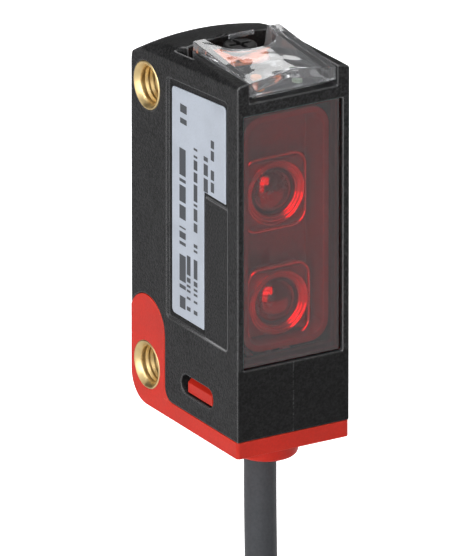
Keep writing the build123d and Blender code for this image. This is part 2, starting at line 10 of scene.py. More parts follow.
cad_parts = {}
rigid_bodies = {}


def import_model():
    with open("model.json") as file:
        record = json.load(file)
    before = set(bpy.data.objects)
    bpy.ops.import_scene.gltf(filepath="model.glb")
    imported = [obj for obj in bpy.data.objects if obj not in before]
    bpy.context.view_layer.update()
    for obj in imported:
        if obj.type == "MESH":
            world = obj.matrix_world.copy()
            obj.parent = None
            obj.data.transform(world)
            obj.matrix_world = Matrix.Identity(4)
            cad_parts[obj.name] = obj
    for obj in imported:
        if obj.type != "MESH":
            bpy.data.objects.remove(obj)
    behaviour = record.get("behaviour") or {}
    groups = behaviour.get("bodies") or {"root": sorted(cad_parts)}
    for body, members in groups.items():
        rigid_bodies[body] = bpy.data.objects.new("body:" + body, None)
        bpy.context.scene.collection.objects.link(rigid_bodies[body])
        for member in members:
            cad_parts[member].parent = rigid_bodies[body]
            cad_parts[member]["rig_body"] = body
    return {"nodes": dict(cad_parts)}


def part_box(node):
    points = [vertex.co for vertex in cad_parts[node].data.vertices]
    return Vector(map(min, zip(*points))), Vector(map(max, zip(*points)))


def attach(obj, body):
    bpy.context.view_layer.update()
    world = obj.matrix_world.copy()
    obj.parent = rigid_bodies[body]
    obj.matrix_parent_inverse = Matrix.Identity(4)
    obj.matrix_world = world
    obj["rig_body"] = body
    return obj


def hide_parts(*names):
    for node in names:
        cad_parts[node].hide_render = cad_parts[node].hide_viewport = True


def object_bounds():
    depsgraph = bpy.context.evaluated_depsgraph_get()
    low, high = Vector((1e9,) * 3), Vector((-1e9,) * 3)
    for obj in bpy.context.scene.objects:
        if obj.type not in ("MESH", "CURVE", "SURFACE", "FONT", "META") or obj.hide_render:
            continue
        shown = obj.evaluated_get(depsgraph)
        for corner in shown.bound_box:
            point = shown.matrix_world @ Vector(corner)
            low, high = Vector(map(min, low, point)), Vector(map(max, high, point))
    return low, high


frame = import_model()
cad_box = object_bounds()
nodes = frame["nodes"]
scene = bpy.context.scene
MM = 0.001


# --- camera ---
# A very long lens a few metres away, looking down on the left side and the lens side, so that
# upright edges stay parallel.
view_turn, view_height, view_distance = radians(30.76), radians(21.08), 1.7685
towards = Vector((-sin(view_turn) * cos(view_height), -cos(view_turn) * cos(view_height), sin(view_height)))
rightwards = Vector((cos(view_turn), -sin(view_turn), 0))
upwards = towards.cross(rightwards)
shift_right, shift_up = 0.857, 3.444
aimed_at = Vector((0, -7.1, 0.15)) * MM - rightwards * shift_right * MM - upwards * shift_up * MM
long_lens = bpy.data.cameras.new("camera")
long_lens.sensor_fit, long_lens.sensor_width, long_lens.lens = "AUTO", 24, 900
long_lens.clip_start, long_lens.clip_end = 0.1, 20
camera = bpy.data.objects.new("camera", long_lens)
scene.collection.objects.link(camera)
camera.matrix_world = Matrix.Translation(aimed_at + towards * view_distance) @ Matrix(
    (rightwards, upwards, towards)).transposed().to_4x4()
scene.camera = camera
scene.view_settings.view_transform = "Standard"


# --- cable ---
# A round four-core cable with a soft black PVC jacket, 2.8 mm across and about 2 m long. It drops
# out of the boss, swings aside and lands on its own put-away length, wound 4 turns across and 5
# layers deep, whose last turn runs out to the stripped end.
jacket_r, turn_pitch = 1.4 * MM, 2.86 * MM
lead_route = np.array([
    (0.0, -0.0096, -0.01840),
    (0.0, -0.0096, -0.03140),
    (0.0010, -0.0097, -0.04340),
    (0.0060, -0.0095, -0.05310),
    (0.0150, -0.0096, -0.05880),
    (0.0250, -0.0096, -0.05983),
])
coil_centre, ring_r = np.array((0.025, 0.00883)), 17 * MM
top_turn_z, tail_length = -0.05983, 12 * MM
leaving = radians(135)


def coil_turns(per_turn=24, ease_start=0.72, ease_earlier=0.07, ease_length=0.25):
    """Control points of the coil's turns, from the landing at -90 degrees to where the tail leaves.

    Each turn has a column and a layer in the bundle's section. A turn keeps its radius and height,
    and eases over to the next turn's in its last quarter, a little earlier in each deeper layer. The
    ease is the smooth step, three times the square less twice the cube.
    """
    places = [(2, 0)] + [(column, layer) for layer in (1, 2, 3, 4)
                         for column in (range(3, -1, -1) if layer % 2 else range(4))]
    radii = np.array([ring_r + (column - 1.5) * turn_pitch for column, _ in places] + [0])
    heights = np.array([top_turn_z - layer * turn_pitch for _, layer in places] + [0])
    last_share = (leaving + pi / 2) / (2 * pi)
    steps = np.arange(0.5, (len(places) - 1 + last_share) * per_turn)
    turn, part = (steps // per_turn).astype(int), (steps % per_turn) / per_turn
    layer = np.array([layer for _, layer in places])[turn]
    ease = np.clip((part - ease_start + ease_earlier * layer) / ease_length, 0, 1)
    ease = ease ** 2 * (3 - 2 * ease)
    last = turn == len(places) - 1
    ease[last] = 0
    r = radii[turn] + (radii[turn + 1] - radii[turn]) * ease
    z = heights[turn] + (heights[turn + 1] - heights[turn]) * ease
    control_r = r / (0.75 + 0.25 * cos(2 * pi / per_turn))
    angle = (part - 0.25) * 2 * pi
    return np.column_stack([coil_centre[0] + control_r * np.cos(angle),
                            coil_centre[1] + control_r * np.sin(angle), z])


outer_r, lowest_turn_z = ring_r + 1.5 * turn_pitch, top_turn_z - 4 * turn_pitch
tail_start = np.array([*(coil_centre + outer_r * np.array((cos(leaving), sin(leaving)))), lowest_turn_z])
tail_way = np.array((-sin(leaving), cos(leaving), 0))
tail_points = np.array([tail_start + tail_way * share * tail_length for share in (0.1, 0.5, 1.0)])
cable_points = np.vstack([lead_route, coil_turns(), tail_points])
cable_line = bpy.data.curves.new("cable", "CURVE")
cable_line.dimensions, cable_line.resolution_u = "3D", 8
# the tube's radius is held by the points, on a profile of radius one, so that the curve's box fits it
cable_line.bevel_depth, cable_line.bevel_resolution, cable_line.use_fill_caps = 1.0, 5, True
spline = cable_line.splines.new("NURBS")
spline.points.add(len(cable_points) - 1)
spline.points.foreach_set("radius", np.full(len(cable_points), jacket_r))
spline.points.foreach_set("co", np.column_stack([cable_points, np.ones(len(cable_points))]).ravel())
spline.order_u, spline.use_endpoint_u = 3, True
cable = bpy.data.objects.new("cable", cable_line)
scene.collection.objects.link(cable)
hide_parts("cable_lead", "cable_coil", "cable_tail")
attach(cable, "sensor")


def effect_group(name, inputs, outputs):
    """An empty shader node group with named sockets: the tree, its input node and its output node."""
    tree = bpy.data.node_groups.new(name, "ShaderNodeTree")
    for socket, kind, value in inputs:
        made = tree.interface.new_socket(name=socket, in_out="INPUT", socket_type=kind)
        made.default_value = value
    for socket, kind in outputs:
        tree.interface.new_socket(name=socket, in_out="OUTPUT", socket_type=kind)
    return tree, tree.nodes.new("NodeGroupInput"), tree.nodes.new("NodeGroupOutput")


def put(tree, kind, settings=None, values=None, links=None):
    """A new node with its settings, socket values and incoming links."""
    node = tree.nodes.new(kind)
    for key, value in (settings or {}).items():
        setattr(node, key, value)
    for key, value in (values or {}).items():
        node.inputs[key].default_value = value
    for key, source in (links or {}).items():
        tree.links.new(source, node.inputs[key])
    return node


def combine(tree, operation, *operands):
    """The output of a Math node on numbers or sockets."""
    node = put(tree, "ShaderNodeMath", {"operation": operation})
    for index, operand in enumerate(operands):
        if isinstance(operand, bpy.types.NodeSocket):
            tree.links.new(operand, node.inputs[index])
        else:
            node.inputs[index].default_value = operand
    return node.outputs[0]


def ranged(tree, value, source, target):
    """The output of a Map Range node that takes one (low, high) range to another."""
    return put(tree, "ShaderNodeMapRange", values={
        "From Min": source[0], "From Max": source[1], "To Min": target[0], "To Max": target[1],
    }, links={"Value": value}).outputs["Result"]


def scaled(tree, colour, factor):
    """The output of a Vector Math node that multiplies a colour by a number."""
    return put(tree, "ShaderNodeVectorMath", {"operation": "SCALE"}, links={0: colour, "Scale": factor}).outputs[0]


def object_place(tree):
    """Object coordinates, in metres."""
    return put(tree, "ShaderNodeTexCoord").outputs["Object"]


def feed(tree, node, **sources):
    """Links sources to a node's inputs of the same names, with underscores for spaces."""
    for name, source in sources.items():
        tree.links.new(source, node.inputs[name.replace("_", " ")])


def moulded_surface():
    """Moulded or extruded plastic: fine grain in the normal, slow drift in colour and gloss, and a painted
    highlight along rounded edges, painted in a paler edge colour. The edge mask grows as the cosine between the face
    and its rounded normal falls."""
    tree, given, out = effect_group("moulded_surface", [
        ("Colour", "NodeSocketColor", (0.5, 0.5, 0.5, 1)),
        ("Edge Colour", "NodeSocketColor", (0.7, 0.7, 0.7, 1)),
        ("Roughness", "NodeSocketFloat", 0.5),
        ("Grain Scale", "NodeSocketFloat", 6000),
        ("Grain", "NodeSocketFloat", 0.3),
        ("Edge Radius", "NodeSocketFloat", 0.00012),
        ("Edge", "NodeSocketFloat", 1.0),
        ("Speck", "NodeSocketFloat", 0.28),
    ], [("Colour", "NodeSocketColor"), ("Roughness", "NodeSocketFloat"), ("Normal", "NodeSocketVector")])
    at = object_place(tree)
    fine = put(tree, "ShaderNodeTexNoise", values={"Detail": 3, "Roughness": 0.6},
               links={"Vector": at, "Scale": given.outputs["Grain Scale"]}).outputs["Fac"]
    broad = put(tree, "ShaderNodeTexNoise", values={"Scale": 260, "Detail": 3}, links={"Vector": at}).outputs["Fac"]
    rounded = put(tree, "ShaderNodeBevel", {"samples": 6},
                  links={"Radius": given.outputs["Edge Radius"]}).outputs["Normal"]
    grain = put(tree, "ShaderNodeBump", values={"Distance": 0.00006},
                links={"Strength": given.outputs["Grain"], "Height": fine, "Normal": rounded})
    face = put(tree, "ShaderNodeNewGeometry").outputs["Normal"]
    match = put(tree, "ShaderNodeVectorMath", {"operation": "DOT_PRODUCT"}, links={0: rounded, 1: face})
    # painted highlight: where the rounded normal turns away from the face, the colour goes over to the paler edge
    # colour
    edge_highlight = ranged(tree, match.outputs["Value"], (0.995, 0.92), (0, 1))
    edge_highlight = combine(tree, "MULTIPLY", edge_highlight, given.outputs["Edge"])
    speck = put(tree, "ShaderNodeMapRange", {"clamp": False}, {"From Min": 0.5, "From Max": 0.7, "To Min": 0},
                {"Value": fine, "To Max": given.outputs["Speck"]}).outputs["Result"]
    drift = ranged(tree, broad, (0.3, 0.7), (0.92, 1.08))
    shade = combine(tree, "MULTIPLY", combine(tree, "ADD", 1.0, speck), drift)
    # the painted edge highlight is mixed into the plastic's colour here
    edged = put(tree, "ShaderNodeMix", {"data_type": "RGBA"}, links={
        0: edge_highlight, 6: scaled(tree, given.outputs["Colour"], shade), 7: given.outputs["Edge Colour"]})
    feed(tree, out, Colour=edged.outputs[2], Roughness=combine(tree, "MULTIPLY", given.outputs["Roughness"], drift),
         Normal=grain.outputs["Normal"])
    return tree


moulded = moulded_surface()


def blank_material(name, **values):
    """A material with one Principled shader, with plain values on its own sockets."""
    material = bpy.data.materials.new(name)
    material.use_nodes = True
    shader = material.node_tree.nodes["Principled BSDF"]
    for key, value in values.items():
        shader.inputs[key.replace("_", " ")].default_value = value
    return material, material.node_tree, shader


def wear(tree, shader, group, values):
    """Puts a surface group with its values in a material and feeds its three outputs to the shader."""
    surface = put(tree, "ShaderNodeGroup", {"node_tree": group}, values)
    feed(tree, shader, Base_Color=surface.outputs["Colour"], Roughness=surface.outputs["Roughness"],
         Normal=surface.outputs["Normal"])


def plastic(name, colour, roughness=0.5, grain=0.3, scale=6000, edge=None, edge_r=0.12, shine=0.5, speck=0.28,
            **values):
    """Moulded plastic of one colour, with its grain and a painted highlight along its edges."""
    material, tree, shader = blank_material(name, Specular_IOR_Level=shine, **values)
    # the edge colour is a painted highlight; by default it is 1.6 times the plastic's colour, a little paler still
    edge = edge or tuple(min(1, c * 1.6 + 0.02) for c in colour)
    wear(tree, shader, moulded, {
        "Colour": (*colour, 1), "Edge Colour": (*edge, 1), "Roughness": roughness, "Grain Scale": scale,
        "Grain": grain, "Edge Radius": edge_r * MM, "Edge": 1.0, "Speck": speck})
    return material


def dress(piece, material):
    """Gives a piece or a CAD node its finish."""
    if not piece.material_slots:
        piece.data.materials.append(material)
    for spot in piece.material_slots:
        spot.material = material


jacket = plastic("cable_jacket", (0.066, 0.069, 0.075), 0.40, 0.12, 4000, shine=0.16, speck=0.1)
dress(cable, jacket)
dress(nodes["cable_jacket_end"], jacket)
dress(nodes["coil_tie"], plastic("tie_plastic", (0.03, 0.03, 0.03), 0.4, 0.1))
for core, colour in (("brown", (0.16, 0.06, 0.025)), ("white", (0.75, 0.75, 0.72)), ("blue", (0.02, 0.09, 0.42)),
                     ("black", (0.02, 0.02, 0.02))):
    insulation = plastic("core_" + core, colour, 0.35, 0.08, 8000)
    for place in ("inner_core_", "end_core_"):
        dress(nodes[place + core], insulation)


def metal_surface():
    """Turned, rolled or tinned metal: fine lines along one axis in roughness and normal, with a drift in colour."""
    tree, given, out = effect_group("metal_surface", [
        ("Colour", "NodeSocketColor", (0.6, 0.6, 0.6, 1)),
        ("Roughness", "NodeSocketFloat", 0.3),
        ("Stretch", "NodeSocketVector", (1, 1, 1)),
        ("Lines", "NodeSocketFloat", 0.2),
    ], [("Colour", "NodeSocketColor"), ("Roughness", "NodeSocketFloat"), ("Normal", "NodeSocketVector")])
    at = object_place(tree)
    along = put(tree, "ShaderNodeVectorMath", {"operation": "MULTIPLY"}, links={0: at, 1: given.outputs["Stretch"]})
    lines = put(tree, "ShaderNodeTexNoise", values={"Scale": 1500, "Detail": 4},
                links={"Vector": along.outputs[0]}).outputs["Fac"]
    broad = put(tree, "ShaderNodeTexNoise", values={"Scale": 500, "Detail": 2}, links={"Vector": at}).outputs["Fac"]
    scratched = put(tree, "ShaderNodeBump", values={"Distance": 0.00002},
                    links={"Strength": given.outputs["Lines"], "Height": lines})
    drift = ranged(tree, broad, (0.3, 0.7), (0.85, 1.1))
    rub = ranged(tree, lines, (0.3, 0.7), (0.75, 1.3))
    feed(tree, out, Colour=scaled(tree, given.outputs["Colour"], drift),
         Roughness=combine(tree, "MULTIPLY", given.outputs["Roughness"], rub), Normal=scratched.outputs["Normal"])
    return tree


metallic = metal_surface()


def metal(name, colour, roughness=0.3, stretch=(1, 1, 1), lines=0.2, **values):
    """Bare metal of one colour with fine lines."""
    material, tree, shader = blank_material(name, Metallic=1.0, **values)
    wear(tree, shader, metallic, {
        "Colour": (*colour, 1), "Roughness": roughness, "Stretch": stretch, "Lines": lines})
    return material


dress(nodes["tinned_tips"], metal("tinned_wire", (0.66, 0.65, 0.62), 0.35, lines=0.4))
dress(nodes["cable_clamp"], metal("crimped_ring", (0.6, 0.58, 0.53), 0.35, (1, 1, 6)))


# --- room ---
# A pale floor under the coil, white surroundings, and six soft boxes: one in front on the left, a wide
# weak one on each side, one overhead, a small one behind that shines on the clear cover, and one high
# in front that shows only in polished surfaces.
floor_z = cad_box[0][2]
bpy.ops.mesh.primitive_plane_add(size=6, location=(0, 0, floor_z - 0.0001))
floor = bpy.context.object
floor.name = "floor"
floor_material, floor_tree, floor_shader = blank_material("floor", Base_Color=(0.75, 0.75, 0.76, 1), Roughness=0.9)
floor_shader.inputs["Emission Color"].default_value = (1, 1, 1, 1)
feed(floor_tree, floor_shader, Emission_Strength=put(floor_tree, "ShaderNodeLightPath").outputs["Is Camera Ray"])
# from below, the floor lets the view and the light through
below = put(floor_tree, "ShaderNodeNewGeometry").outputs["Backfacing"]
see_through = put(floor_tree, "ShaderNodeBsdfTransparent")
floor_mix = put(floor_tree, "ShaderNodeMixShader",
                links={0: below, 1: floor_shader.outputs[0], 2: see_through.outputs[0]})
feed(floor_tree, floor_tree.nodes["Material Output"], Surface=floor_mix.outputs[0])
floor.data.materials.append(floor_material)

world = bpy.data.worlds.new("studio")
scene.world = world
world.use_nodes = True
sky = world.node_tree
sky_shader = sky.nodes["Background"]
height = put(sky, "ShaderNodeSeparateXYZ", links={0: put(sky, "ShaderNodeTexCoord").outputs["Generated"]})
sky_shader.inputs["Color"].default_value = (1, 1, 1, 1)
fade = ranged(sky, height.outputs["Z"], (-0.3, 0.9), (0.0125, 0.0275))
seen = put(sky, "ShaderNodeLightPath").outputs["Is Camera Ray"]
bright = put(sky, "ShaderNodeMix", {"data_type": "FLOAT"}, {3: 1.0}, {0: seen, 2: fade})
feed(sky, sky_shader, Strength=bright.outputs[0])


def soft_box(name, place, size, power, aim=(0, -0.006, 0)):
    """A rectangular lamp at a place in metres, turned to face the sensor."""
    lamp = bpy.data.lights.new(name, "AREA")
    lamp.shape, lamp.size, lamp.size_y, lamp.energy = "RECTANGLE", size[0], size[1], power
    box = bpy.data.objects.new(name, lamp)
    scene.collection.objects.link(box)
    box.location = place
    box.rotation_euler = (Vector(aim) - Vector(place)).to_track_quat("-Z", "Y").to_euler()
    return box


soft_box("front_box", (-0.50, -0.44, 0.14), (0.48, 0.58), 3.1)
soft_box("left_box", (-0.70, 0.12, 0.05), (0.6, 0.7), 2.1)
soft_box("top_box", (-0.10, -0.05, 0.7), (0.4, 0.4), 4.4)
soft_box("right_box", (0.70, 0.05, 0.10), (0.5, 0.6), 2.0)
soft_box("rear_box", (0.30, 0.55, 0.36), (0.15, 0.11), 0.17)
glint_box = soft_box("glint_box", (-0.30, -0.53, 0.50), (0.56, 0.46), 4.6)
glint_box.visible_diffuse = False


# --- housing ---
# The black body, moulded in one piece with a fine spark-eroded grain. Its edges are slightly rounded
# by the mould, and a parting line runs down the middle of the front.
def softened(node, radius, angle=30, segments=2):
    """A copy of a CAD node, welded, with its flat triangles joined and its sharp edges rounded."""
    mesh = bpy.data.meshes.new("soft_" + node)
    shape = bmesh.new()
    shape.from_mesh(nodes[node].data)
    bmesh.ops.remove_doubles(shape, verts=shape.verts, dist=1e-6)
    bmesh.ops.dissolve_limit(shape, angle_limit=radians(0.4), verts=shape.verts, edges=shape.edges)
    shape.to_mesh(mesh)
    shape.free()
    for attribute in [a.name for a in mesh.attributes if a.name.startswith("custom_normal")]:
        mesh.attributes.remove(mesh.attributes[attribute])
    mesh.shade_smooth()
    mesh.set_sharp_from_angle(angle=radians(angle))
    mesh.materials.clear()
    piece = bpy.data.objects.new("soft_" + node, mesh)
    scene.collection.objects.link(piece)
    rounding = piece.modifiers.new("rounding", "BEVEL")
    rounding.width, rounding.segments, rounding.limit_method = radius * MM, segments, "ANGLE"
    rounding.angle_limit, rounding.use_clamp_overlap = radians(angle), False
    rounding.harden_normals = True
    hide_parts(node)
    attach(piece, nodes[node]["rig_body"])
    return piece


housing = softened("housing_shell", 0.1)
# the pale grey edge colour is a painted highlight along the housing's rounded edges
black_plastic = plastic("black_plastic", (0.0105, 0.0105, 0.011), 0.46, 1.0, 5200, edge=(0.26, 0.26, 0.265),
                        edge_r=0.17, shine=0.28, speck=1.9)
black_tree = black_plastic.node_tree
black_shader = black_tree.nodes["Principled BSDF"]
moulded_colour = black_shader.inputs["Base Color"].links[0].from_socket
moulded_gloss = black_shader.inputs["Roughness"].links[0].from_socket
# the band below the window is more coarsely eroded, so darker and flatter; the parting line crosses it
window_low, parting_half, faces_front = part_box("front_window")[0][2], 0.06 * MM, -0.8
faced = put(black_tree, "ShaderNodeSeparateXYZ", links={0: put(black_tree, "ShaderNodeTexCoord").outputs["Normal"]})
where = put(black_tree, "ShaderNodeSeparateXYZ", links={0: object_place(black_tree)})
is_front = combine(black_tree, "LESS_THAN", faced.outputs["Y"], faces_front)
is_low = combine(black_tree, "LESS_THAN", where.outputs["Z"], window_low)
band = combine(black_tree, "MULTIPLY", is_front, is_low)
from_middle = combine(black_tree, "ABSOLUTE", where.outputs["X"])
parting = combine(black_tree, "MULTIPLY", combine(black_tree, "LESS_THAN", from_middle, parting_half), band)
lighter = combine(black_tree, "MULTIPLY_ADD", parting, 1.2, ranged(black_tree, band, (0, 1), (1.0, 0.4)))
flatter = combine(black_tree, "ADD", moulded_gloss, ranged(black_tree, band, (0, 1), (0.0, 0.4)))
feed(black_tree, black_shader, Base_Color=scaled(black_tree, moulded_colour, lighter), Roughness=flatter)
dress(housing, black_plastic)


# --- base cap ---
# The red floor, moulded with the rear ear round the lower sleeve, two snap arms and the cable boss.
cap = softened("base_cap", 0.04)
# the paler red edge colour is a painted highlight along the cap's edges
red_plastic = plastic("red_plastic", (0.58, 0.022, 0.010), 0.40, 0.22, 5200, edge=(0.74, 0.07, 0.04), shine=0.25,
                      speck=0.07)
dress(cap, red_plastic)


# --- sleeves ---
# Two brass through-sleeves, turned on a lathe and moulded in. Each end has a wide bright inner
# chamfer, and the bore between them is ridged.
def closed_grid(name, points):
    """A piece on a rows by columns grid of points that closes on itself both ways.

    A face joins each point to the next in its row and to the same two in the next row. Points that
    fall together are merged, and the faces are turned outwards.
    """
    rows, columns = points.shape[:2]
    i, j = np.meshgrid(np.arange(rows), np.arange(columns), indexing="ij")
    k, m = (i + 1) % rows, (j + 1) % columns
    faces = np.stack([i * columns + j, i * columns + m, k * columns + m, k * columns + j], -1).reshape(-1, 4)
    mesh = bpy.data.meshes.new(name)
    mesh.from_pydata(points.reshape(-1, 3).tolist(), [], faces.tolist())
    shape = bmesh.new()
    shape.from_mesh(mesh)
    bmesh.ops.remove_doubles(shape, verts=shape.verts, dist=1e-7)
    bmesh.ops.recalc_face_normals(shape, faces=shape.faces)
    shape.to_mesh(mesh)
    shape.free()
    mesh.shade_smooth()
    mesh.set_sharp_from_angle(angle=radians(40))
    piece = bpy.data.objects.new(name, mesh)
    scene.collection.objects.link(piece)
    return piece


def turned(name, profile, axis, centre, round_to=96):
    """A closed profile of (distance along the axis, radius) pairs, in millimetres, spun about an axis.

    Point i, j is the centre plus the axis times the distance, plus the radius times the cosine and
    sine of the angle along the two directions across the axis.
    """
    profile = np.array(profile, float)
    along = np.eye(3)["XYZ".index(axis)]
    first = np.roll(along, 1)
    second = np.cross(along, first)
    angle = np.linspace(0, 2 * pi, round_to, endpoint=False)
    across = np.outer(np.cos(angle), first) + np.outer(np.sin(angle), second)
    points = profile[:, None, :1] * along + profile[:, None, 1:] * across[None]
    return closed_grid(name, points * MM + np.array(centre))


def middle(node):
    """The middle of a CAD node's box."""
    low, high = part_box(node)
    return (np.array(low) + np.array(high)) / 2


brass = metal("brass", (0.76, 0.58, 0.29), 0.42, (0.05, 1, 1), 0.5)
sleeve_half, sleeve_r, bore_r, mouth_r, ridge, ridged_half = 5.55, 2.15, 1.6, 1.98, 0.09, 4.9
sleeve_end = [
    (sleeve_half - 0.10, sleeve_r), (sleeve_half - 0.03, sleeve_r - 0.03), (sleeve_half, sleeve_r - 0.08),
    (sleeve_half, mouth_r + 0.03), (sleeve_half - 0.02, mouth_r), (sleeve_half - 0.38, bore_r + 0.03),
    (sleeve_half - 0.45, bore_r)]
ridges = [(x, bore_r + ridge * (index % 2)) for index, x in enumerate(np.linspace(ridged_half, -ridged_half, 41))]
for node in ("upper_sleeve", "lower_sleeve"):
    sleeve = turned(node + "_turned", sleeve_end + ridges + [(-x, r) for x, r in reversed(sleeve_end)],
                    "X", middle(node))
    dress(sleeve, brass)
    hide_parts(node)
    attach(sleeve, "sensor")


# --- window ---
# A flat plate of dark red filter plastic, cut to size, glued into its rebate and polished on both
# faces. Only its outer face mirrors the room.
window_material, window_tree, window_shader = blank_material("red_filter")
window_tree.nodes.remove(window_shader)
tint = put(window_tree, "ShaderNodeBsdfTransparent", values={"Color": (0.84, 0.02, 0.04, 1)})
glint = put(window_tree, "ShaderNodeBsdfGlossy", values={"Color": (1, 1, 1, 1), "Roughness": 0.02})
rim = put(window_tree, "ShaderNodeFresnel", values={"IOR": 1.8})
inside = put(window_tree, "ShaderNodeNewGeometry").outputs["Backfacing"]
mirrored = combine(window_tree, "MULTIPLY", rim.outputs[0], combine(window_tree, "SUBTRACT", 1.0, inside))
window_mix = put(window_tree, "ShaderNodeMixShader", links={0: mirrored, 1: tint.outputs[0], 2: glint.outputs[0]})
feed(window_tree, window_tree.nodes["Material Output"], Surface=window_mix.outputs[0])
dress(nodes["front_window"], window_material)


# --- lenses ---
# Two moulded plastic lenses in one frame behind the filter. Each is a polished dome inside a
# stepped, funnel-shaped flange with two fine ridges.
# the paler edge colours here are painted highlights along the edges
lens_clear = plastic("lens_plastic", (0.13, 0.13, 0.13), 0.04, 0.0, shine=1.0, edge=(0.3, 0.3, 0.3), edge_r=0.03,
                     speck=0.05, IOR=2.2)
flange_clear = plastic("lens_flange", (0.95, 0.95, 0.95), 0.17, 0.5, 900, shine=1.0, edge=(0.95, 0.95, 0.95),
                       edge_r=0.05, Metallic=0.8)
dome_r, bulge = 2.05, 1.15
ball_r = (dome_r ** 2 + bulge ** 2) / (2 * bulge)
dome = [(ball_r - bulge - (ball_r ** 2 - r * r) ** 0.5, r) for r in np.linspace(0, dome_r, 16)]
lens_section = dome + [(0.05, 2.08), (0.5, 2.08), (0.5, 0.0)]
flange_section = [
    (-0.37, 2.12), (-0.42, 2.20), (-0.53, 2.27), (-0.51, 2.34), (-0.62, 2.43), (-0.66, 2.52), (-0.63, 2.60),
    (-0.76, 2.72), (-0.80, 2.80), (-0.76, 2.88), (-0.37, 2.90)]


def lens_seat(node, rim_depth=0.5 * MM):
    """The middle of a lens's front rim."""
    low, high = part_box(node)
    return ((low[0] + high[0]) / 2, high[1] - rim_depth, (low[2] + high[2]) / 2)


for node in ("receiver_lens", "transmitter_lens"):
    moulded_lens = turned(node + "_moulded", lens_section, "Y", lens_seat(node))
    dress(moulded_lens, lens_clear)
    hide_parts(node)
    flange = turned(node + "_flange", flange_section, "Y", lens_seat(node))
    dress(flange, flange_clear)
    for piece in (moulded_lens, flange):
        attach(piece, "sensor")
carrier = softened("optics_carrier", 0.1)
# the paler edge colour is a painted highlight along the carrier's edges
dress(carrier, plastic("carrier_plastic", (0.26, 0.26, 0.26), 0.25, 0.1, edge=(0.5, 0.5, 0.5)))


def rounded_rim(name, half_wide, half_tall, corner, section, centre, per_corner=12):
    """A rim with rounded corners in the XZ plane.

    Each section point is (height along Y, outset): the rim's outline is a rectangle with quarter
    circles at its corners, grown by the outset.
    """
    turn = np.linspace(0, pi / 2, per_corner)
    angle = np.concatenate([turn + quarter * pi / 2 for quarter in range(4)])
    sign_x = np.repeat([1, -1, -1, 1], per_corner)
    sign_z = np.repeat([1, 1, -1, -1], per_corner)
    section = np.array(section, float)
    grown = corner + section[:, 1:]
    x = sign_x * (half_wide - corner) + grown * np.cos(angle)
    z = sign_z * (half_tall - corner) + grown * np.sin(angle)
    y = np.repeat(section[:, :1], len(angle), 1)
    return closed_grid(name, np.stack([x, y, z], -1) * MM + np.array(centre))


rim_half_wide, rim_half_tall, rim_corner = 2.95, 3.2, 1.2
rim_section = [(-0.36, -0.05), (-0.62, -0.05), (-0.70, 0.02), (-0.70, 0.12), (-0.62, 0.20), (-0.36, 0.22)]
for node in ("receiver_lens", "transmitter_lens"):
    frame_rim = rounded_rim(node + "_rim", rim_half_wide, rim_half_tall, rim_corner, rim_section, lens_seat(node))
    dress(frame_rim, flange_clear)
    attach(frame_rim, "sensor")


# --- clear cover ---
# A clear polycarbonate hood over the two indicator lamps, clipped into the roof pocket; the lamps'
# light spreads in it, so it is slightly milky.
clear, clear_tree, clear_shader = blank_material("clear_plastic", Base_Color=(0.86, 0.87, 0.89, 1), Roughness=0.05,
                                                 IOR=1.55, Transmission_Weight=0.9)
wavy = put(clear_tree, "ShaderNodeTexNoise", values={"Scale": 330, "Detail": 1},
           links={"Vector": object_place(clear_tree)})
wave = put(clear_tree, "ShaderNodeBump", values={"Strength": 0.6, "Distance": 0.00025},
           links={"Height": wavy.outputs["Fac"]})
feed(clear_tree, clear_shader, Normal=wave.outputs["Normal"])
cover = softened("indicator_cover", 0.08)
dress(cover, clear)


def pebble(name, low, high, material, body="sensor", rounding=0.3, segments=3):
    """A small block between two corners, in millimetres, with softly rounded edges."""
    low, high = np.array(low, float), np.array(high, float)
    corner = np.array(np.meshgrid([0, 1], [0, 1], [0, 1], indexing="ij")).reshape(3, -1).T
    mesh = bpy.data.meshes.new(name)
    mesh.from_pydata(((low + corner * (high - low)) * MM).tolist(), [], [
        (0, 1, 3, 2), (4, 6, 7, 5), (0, 4, 5, 1), (2, 3, 7, 6), (0, 2, 6, 4), (1, 5, 7, 3)])
    mesh.shade_smooth()
    piece = bpy.data.objects.new(name, mesh)
    scene.collection.objects.link(piece)
    edges = piece.modifiers.new("rounding", "BEVEL")
    edges.width, edges.segments, edges.harden_normals = rounding * (high - low).min() * MM, segments, True
    dress(piece, material)
    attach(piece, body)


# the snap lugs along the hood's left edge, and the tongue behind the screw
cover_low, cover_high = (np.array(corner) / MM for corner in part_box("indicator_cover"))
for index, forward in enumerate((3.3, 4.7, 6.0)):
    y = cover_high[1] - forward
    pebble(f"cover_lug_{index + 1}", (cover_low[0] - 0.28, y, cover_high[2] - 1.35),
           (cover_low[0] + 0.05, y + 0.55, cover_high[2] - 0.95 - 0.05 * index), clear)
pebble("cover_tongue", (-0.4, cover_high[1] + 0.45, cover_high[2] - 0.75),
       (2.1, cover_high[1] + 0.72, cover_high[2] - 0.35), clear)


